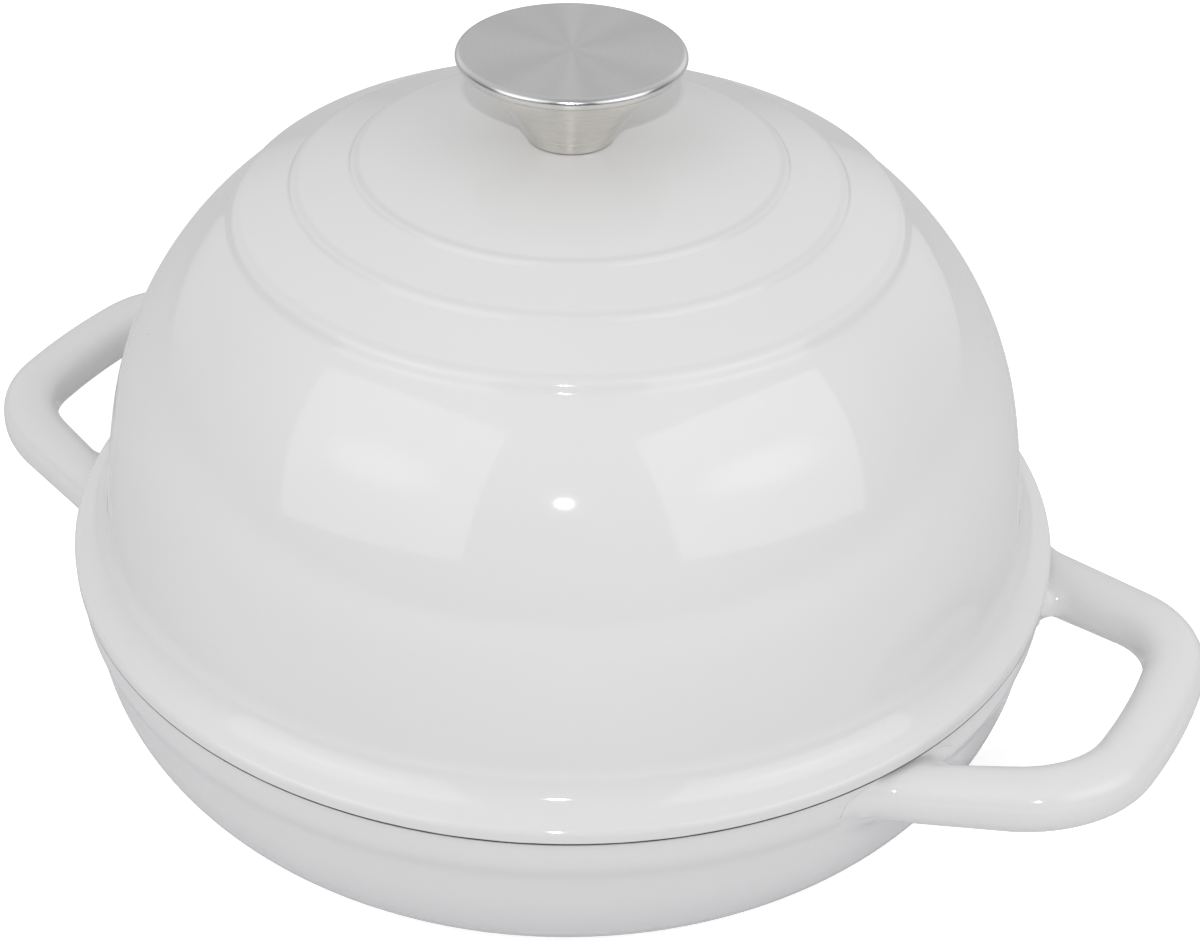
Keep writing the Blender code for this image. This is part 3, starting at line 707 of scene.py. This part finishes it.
def root_rings(foot, along, section):
    """Rings where the leg spreads into the wall, from inside the wall outwards.

    Each line of the leg is followed to the wall on its own. Its fillet is a quarter round drawn in the
    slanted axes of the leg and the wall, so it leaves the leg and meets the wall without a corner.
    """
    side = Vector((-along.y, along.x))
    rings = [[] for _ in range(HANDLE_FILLET_STEPS + 2)]
    for across, up in section:
        height = handle_height(foot.x) + up
        line = foot + side * across
        half = line.dot(along)
        reach = -half + sqrt(half**2 - line.length_squared + pan_outer_radius(height) ** 2)
        meeting = line + along * reach
        radial = meeting.normalized()
        round_wall = Vector((-radial.y, radial.x))
        sideways = across / hypot(across, up)
        downwards = min(up, 0.0) / hypot(across, up)
        side_fillet = HANDLE_OUTER_FILLET if across > 0 else HANDLE_INNER_FILLET
        fillet = sideways**2 * side_fillet + (1 - sideways**2) * HANDLE_UNDER_FILLET
        for k in range(HANDLE_FILLET_STEPS + 1):
            angle = pi / 2 * k / HANDLE_FILLET_STEPS
            spread_out = fillet * (1 - sin(angle))
            drop = downwards * spread_out
            lean = pan_outer_radius(height) - pan_outer_radius(height + drop)
            flat = meeting + along * fillet * (1 - cos(angle)) + round_wall * sideways * spread_out
            flat -= radial * lean * (1 - sin(angle))
            rings[k + 1].append(Vector((*flat, height + drop)))
            if k == 0:
                rings[0].append(Vector((*(flat - flat.normalized() * HANDLE_EMBED), height + drop)))
    return rings


def handle_rings():
    """Rings of points along one handle, from inside the wall round to the wall again."""
    foot, along, points = handle_path()
    section = handle_section()
    rings = root_rings(foot, along, section)
    beyond = Vector((points[-2].x, -points[-2].y))
    tangents = [along] + [after - before for before, after in zip(points, points[2:] + [beyond])]
    for point, tangent in zip(points, tangents):
        side = Vector((-tangent.y, tangent.x)).normalized()
        height = handle_height(point.x)
        rings.append([Vector((*(point + side * across), height + up)) for across, up in section])
    other_half = [[Vector((p.x, -p.y, p.z)) for p in ring] for ring in reversed(rings[:-1])]
    return rings + other_half


# Pieces


def make_pan(materials):
    mesh = turned_mesh("pan_casting", pan_spans(), materials, CASTING_SEGMENTS)
    pan = bpy.data.objects.new("pan_casting_blank", mesh)
    bpy.context.scene.collection.objects.link(pan)
    tools = []
    for direction in (1, -1):
        rings = [[(p.x * direction, p.y * direction, p.z) for p in ring] for ring in handle_rings()]
        tube = capped_tube("handle_tube", rings)
        for material in materials:
            tube.materials.append(material)
        tool = bpy.data.objects.new("handle_tool", tube)
        bpy.context.scene.collection.objects.link(tool)
        tools.append(tool)
        union = pan.modifiers.new("Handle", "BOOLEAN")
        union.operation = "UNION"
        union.solver = "EXACT"
        union.object = tool
    graph = bpy.context.evaluated_depsgraph_get()
    joined = bpy.data.meshes.new_from_object(pan.evaluated_get(graph))
    joined.name = "pan_casting"
    for helper in tools + [pan]:
        bpy.data.objects.remove(helper, do_unlink=True)
    shade_smooth(joined)
    piece = add_piece("pan_casting", joined, "base", "base_pan")


def make_lid(materials):
    mesh = turned_mesh("lid_casting", lid_spans(), materials, CASTING_SEGMENTS)
    piece = add_piece("lid_casting", mesh, "lid", "lid_dome")


def knob_rim():
    """The disc's rounded edge down to the trumpet's flank: its polished part, then its satin part."""
    centre = (DISC_HIGH.x - KNOB_RIM_ROUNDING, DISC_HIGH.z - KNOB_RIM_ROUNDING)
    polished = arc(centre, KNOB_RIM_ROUNDING, pi / 2, KNOB_POLISH_END, 12)
    satin = arc(centre, KNOB_RIM_ROUNDING, KNOB_POLISH_END, KNOB_MOUTH_RISE - pi / 2, 6)
    return polished, satin


def knob_flare(inset):
    """The trumpet's outline from foot to mouth, drawn in by the sheet's thickness for its inside."""
    foot = (KNOB_FOOT_RADIUS - inset, KNOB_LOW.z + KNOB_FOOT_ROUNDING)
    mouth_radius, mouth_height = knob_rim()[1][-1]
    mouth = (mouth_radius - inset, mouth_height - KNOB_JOINT)
    leave = (
        foot[0] + KNOB_FOOT_REACH * cos(KNOB_FOOT_RISE),
        foot[1] + KNOB_FOOT_REACH * sin(KNOB_FOOT_RISE),
    )
    arrive = (
        mouth[0] - KNOB_MOUTH_REACH * cos(KNOB_MOUTH_RISE),
        mouth[1] - KNOB_MOUTH_REACH * sin(KNOB_MOUTH_RISE) + inset,
    )
    return bezier(foot, leave, arrive, mouth, 40)


def make_knob_body(steel):
    foot = KNOB_LOW.z
    floor_top = foot + KNOB_SHEET
    inside = knob_flare(KNOB_SHEET)
    bush_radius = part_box("knob_screw")[1].x + FIT_GAP
    turn_centre = (KNOB_FOOT_RADIUS - KNOB_FOOT_ROUNDING, foot + KNOB_FOOT_ROUNDING)
    rounding = arc(turn_centre, KNOB_FOOT_ROUNDING, 0.0, -pi / 2, EDGE_STEPS)
    hollow = [point for point in inside if point[1] > floor_top + KNOB_SHEET / 2]
    outline = knob_flare(0.0)[::-1] + rounding[1:] + [(bush_radius, foot), (bush_radius, floor_top)]
    outline += [(radius_at(inside, floor_top), floor_top)] + hollow
    mesh = turned_mesh("knob_trumpet", [(0, outline)], [steel], KNOB_SEGMENTS)
    piece = add_piece("knob_trumpet", mesh, "lid", "knob_body")


def make_knob_disc(face_steel, edge_steel, satin_steel):
    polished, satin = knob_rim()
    under = satin[-1][1]
    mouth = knob_flare(KNOB_SHEET)
    spigot_foot = radius_at(mouth, DISC_LOW.z) - 2 * FIT_GAP
    face = [(polished[0][0] * k / DISC_FACE_RINGS, DISC_HIGH.z) for k in range(DISC_FACE_RINGS + 1)]
    spigot = [
        (mouth[-1][0] - 2 * FIT_GAP, under),
        (spigot_foot, DISC_LOW.z),
        (spigot_foot - KNOB_SPIGOT_WIDTH, DISC_LOW.z),
        (spigot_foot - KNOB_SPIGOT_WIDTH, under),
        (0.0, under),
    ]
    spans = [(DISC_FACE, face), (DISC_EDGE, polished), (DISC_UNDERSIDE, satin + spigot)]
    mesh = turned_mesh("knob_disc", spans, [face_steel, edge_steel, satin_steel], KNOB_SEGMENTS)
    piece = add_piece("knob_disc", mesh, "lid", "knob_top_disc")


def dress_solid(node, material):
    """Gives a solid that keeps its shape a finish of its own."""
    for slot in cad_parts[node].material_slots:
        slot.material = material


def castings():
    enamel = enamel_group()
    white = {
        "Colour": (0.80, 0.80, 0.80),
        "Shade colour": (0.785, 0.785, 0.787),
        "Speck colour": (0.28, 0.27, 0.26),
        "Speck size": 0.012,
        "Low roughness": 0.03,
        "High roughness": 0.06,
        "Wave depth": 0.00012,
        "Peel depth": 0.000002,
    }
    lid_white = finish("lid_white_enamel", enamel, white)
    pan_white = finish("pan_white_enamel", enamel, {
        **white,
        "Colour": (0.79, 0.79, 0.792),
        "Low roughness": 0.06,
        "High roughness": 0.10,
    })
    coat = finish("rim_dark_enamel", enamel, {
        **white,
        "Colour": (0.030, 0.030, 0.032),
        "Shade colour": (0.045, 0.045, 0.047),
        "Low roughness": 0.45,
        "High roughness": 0.60,
        "Peel depth": 0.00003,
    })
    lining = finish("lining_cream_enamel", enamel, {
        **white,
        "Colour": (0.72, 0.69, 0.62),
        "Shade colour": (0.69, 0.66, 0.59),
        "Speck size": 0.03,
        "Low roughness": 0.12,
        "High roughness": 0.20,
        "Peel depth": 0.00001,
    })
    thin_and_shade_lines = thin_enamel_and_shade_group()
    # Painted shade: a near-black band over the lid's lower edge, partly the rim's dark coat, partly the seam
    # gap's shadow
    darken_as_thin_enamel_and_shade(lid_white, thin_and_shade_lines, height_above_table, [(LID_BOTTOM, RIM_COAT_AND_GAP_SHADE_HEIGHT, RIM_FADE, 1.0)])
    # Painted shade: darker lines at the moulded steps' edges, partly thinned enamel, partly the steps' own
    # shading
    lines = [(r, STEP_LINE_WIDTH, STEP_LINE_FADE, share) for r, share in zip(STEP_EDGES, STEP_LINE_DARKNESS)]
    darken_as_thin_enamel_and_shade(lid_white, thin_and_shade_lines, distance_from_axis, lines)
    make_pan([pan_white, coat, lining])
    make_lid([lid_white, coat, lining])


def knob_and_fastening():
    turned = turned_steel_group()
    brushed = {
        "Colour": (0.73, 0.73, 0.74),
        "Groove colour": (0.69, 0.69, 0.70),
        "Rings per metre": 5000.0,
        "Low roughness": 0.28,
        "High roughness": 0.36,
        "Groove depth": 0.000001,
    }
    warm = {
        **brushed,
        "Colour": (0.83, 0.81, 0.77),
        "Groove colour": (0.79, 0.77, 0.73),
        "Low roughness": 0.25,
        "High roughness": 0.31,
    }
    satin = {**brushed, "Low roughness": 0.36, "High roughness": 0.44}
    polished = {**brushed, "Low roughness": 0.20, "High roughness": 0.26}
    face = finish("knob_face_brushed_steel", turned, satin, metallic=1.0, anisotropy=0.85)
    edge = finish("knob_edge_turned_steel", turned, polished, metallic=1.0, anisotropy=0.3)
    trumpet = finish("knob_trumpet_turned_steel", turned, warm, metallic=1.0, anisotropy=1.0)
    make_knob_body(trumpet)
    make_knob_disc(face, edge, trumpet)
    fastening = {
        "knob_threaded_bush": (0.30, 0.42),
        "knob_screw": (0.18, 0.28),
        "flat_washer": (0.25, 0.35),
        "spring_washer": (0.35, 0.50),
    }
    for node, (low, high) in fastening.items():
        values = {**brushed, "Low roughness": low, "High roughness": high}
        dress_solid(node, finish(node + "_steel", turned, values, metallic=1.0, anisotropy=0.3))


# Studio


def make_floor():
    half = FLOOR_HALF_WIDTH
    mesh = bpy.data.meshes.new("studio_floor")
    corners = [(-half, -half, 0.0), (half, -half, 0.0), (half, half, 0.0), (-half, half, 0.0)]
    mesh.from_pydata(corners, [], [(0, 1, 2, 3)])
    floor = bpy.data.objects.new("studio_floor", mesh)
    bpy.context.scene.collection.objects.link(floor)
    material = bpy.data.materials.new("studio_paper")
    material.use_nodes = True
    tree = material.node_tree
    shader = tree.nodes["Principled BSDF"]
    shader.inputs["Base Color"].default_value = (*FLOOR_COLOUR, 1.0)
    shader.inputs["Roughness"].default_value = 0.9
    shader.inputs["Specular IOR Level"].default_value = 0.0
    shader.inputs["Emission Color"].default_value = (1.0, 1.0, 1.0, 1.0)
    seen = tree.nodes.new("ShaderNodeLightPath").outputs["Is Camera Ray"]
    tree.links.new(maths(tree, "MULTIPLY", seen, FLOOR_GLOW), shader.inputs["Emission Strength"])
    mesh.materials.append(material)


def studio_direction(azimuth, elevation):
    """Unit vector towards an azimuth from the camera's side, positive to its right, and an elevation."""
    turn = radians(azimuth) + atan2(CAMERA_PLACE.x, -CAMERA_PLACE.y)
    up = radians(elevation)
    return Vector((sin(turn) * cos(up), -cos(turn) * cos(up), sin(up)))


def make_world():
    """A pale tent, brighter where its lamps stand behind the cloth. The camera sees it as plain white."""
    world = bpy.data.worlds.new("studio_tent")
    bpy.context.scene.world = world
    world.use_nodes = True
    tree = world.node_tree
    place = tree.nodes.new("ShaderNodeTexCoord").outputs["Generated"]
    glow = 0.0
    for azimuth, elevation, strength in TENT_LAMPS.values():
        facing = tree.nodes.new("ShaderNodeVectorMath")
        facing.operation = "DOT_PRODUCT"
        facing.inputs[1].default_value = studio_direction(azimuth, elevation)
        tree.links.new(place, facing.inputs[0])
        lobe = maths(tree, "POWER", maths(tree, "MAXIMUM", facing.outputs["Value"], 0.0), TENT_FOCUS)
        glow = maths(tree, "MULTIPLY_ADD", lobe, strength, glow)
    white = tree.nodes.new("ShaderNodeRGB").outputs[0]
    white.default_value = (1.0, 1.0, 1.0, 1.0)
    seen = tree.nodes.new("ShaderNodeLightPath").outputs["Is Camera Ray"]
    tree.links.new(mixed(tree, seen, glow, white), tree.nodes["Background"].inputs["Color"])


def hot_middle(light, gain):
    """Makes a softbox brighter round the lamp behind its cloth, in a band across its middle."""
    light.use_nodes = True
    tree = light.node_tree
    place = tree.nodes.new("ShaderNodeNewGeometry").outputs["Parametric"]
    parts = tree.nodes.new("ShaderNodeSeparateXYZ")
    tree.links.new(place, parts.inputs[0])
    squares = []
    for axis, squeeze in zip(("X", "Y"), HOT_MIDDLE_SQUEEZE):
        offset = maths(tree, "MULTIPLY_ADD", parts.outputs[axis], squeeze, -squeeze / 2)
        squares.append(maths(tree, "POWER", offset, 2.0))
    spot = spread(tree, maths(tree, "ADD", *squares), 0.0, 1.0, 1.0 + gain, 1.0)
    tree.links.new(spot, tree.nodes["Emission"].inputs["Strength"])


def add_area_light(name, placing, distance, size, roll=0.0, gain=0.0):
    """A flat light that faces the lid. Its strength is in watts per square metre of its face."""
    azimuth, elevation, strength = placing
    light = bpy.data.lights.new(name, "AREA")
    light.shape = "RECTANGLE"
    light.size, light.size_y = size
    light.energy = strength * size[0] * size[1]
    if gain:
        hot_middle(light, gain)
    lamp = bpy.data.objects.new(name, light)
    bpy.context.scene.collection.objects.link(lamp)
    towards = studio_direction(azimuth, elevation)
    place = Vector((0.0, 0.0, LIGHT_TARGET_HEIGHT)) + towards * distance
    turn = towards.to_track_quat("Z", "Y").to_matrix().to_4x4()
    lamp.matrix_world = Matrix.Translation(place) @ turn @ Matrix.Rotation(roll, 4, "Z")


def make_lights():
    for name, placing, size, roll in (
        ("left_softbox", LEFT_SOFTBOX, LEFT_SOFTBOX_SIZE, LEFT_SOFTBOX_ROLL),
        ("right_softbox", RIGHT_SOFTBOX, RIGHT_SOFTBOX_SIZE, RIGHT_SOFTBOX_ROLL),
    ):
        add_area_light(name, placing, SOFTBOX_DISTANCE, size, roll, SOFTBOX_GAIN)
    add_area_light("front_lamp", FRONT_LAMP, FRONT_LAMP_DISTANCE, FRONT_LAMP_SIZE)


def make_camera():
    data = bpy.data.cameras.new("photo_camera")
    data.sensor_fit = "HORIZONTAL"
    data.sensor_width = SENSOR_WIDTH
    data.lens = CAMERA_LENS
    camera = bpy.data.objects.new("photo_camera", data)
    bpy.context.scene.collection.objects.link(camera)
    forward = Vector((
        -sin(CAMERA_AZIMUTH) * cos(CAMERA_PITCH),
        cos(CAMERA_AZIMUTH) * cos(CAMERA_PITCH),
        -sin(CAMERA_PITCH),
    ))
    right = forward.cross(Vector((0.0, 0.0, 1.0))).normalized()
    up = right.cross(forward)
    rolled_right = right * cos(CAMERA_ROLL) + up * sin(CAMERA_ROLL)
    rolled_up = up * cos(CAMERA_ROLL) - right * sin(CAMERA_ROLL)
    turn = Matrix((rolled_right, rolled_up, -forward)).transposed().to_4x4()
    camera.matrix_world = Matrix.Translation(CAMERA_PLACE) @ turn
    bpy.context.scene.camera = camera


bpy.context.scene.view_settings.view_transform = "Standard"
castings()
knob_and_fastening()
make_floor()
make_world()
make_lights()
make_camera()
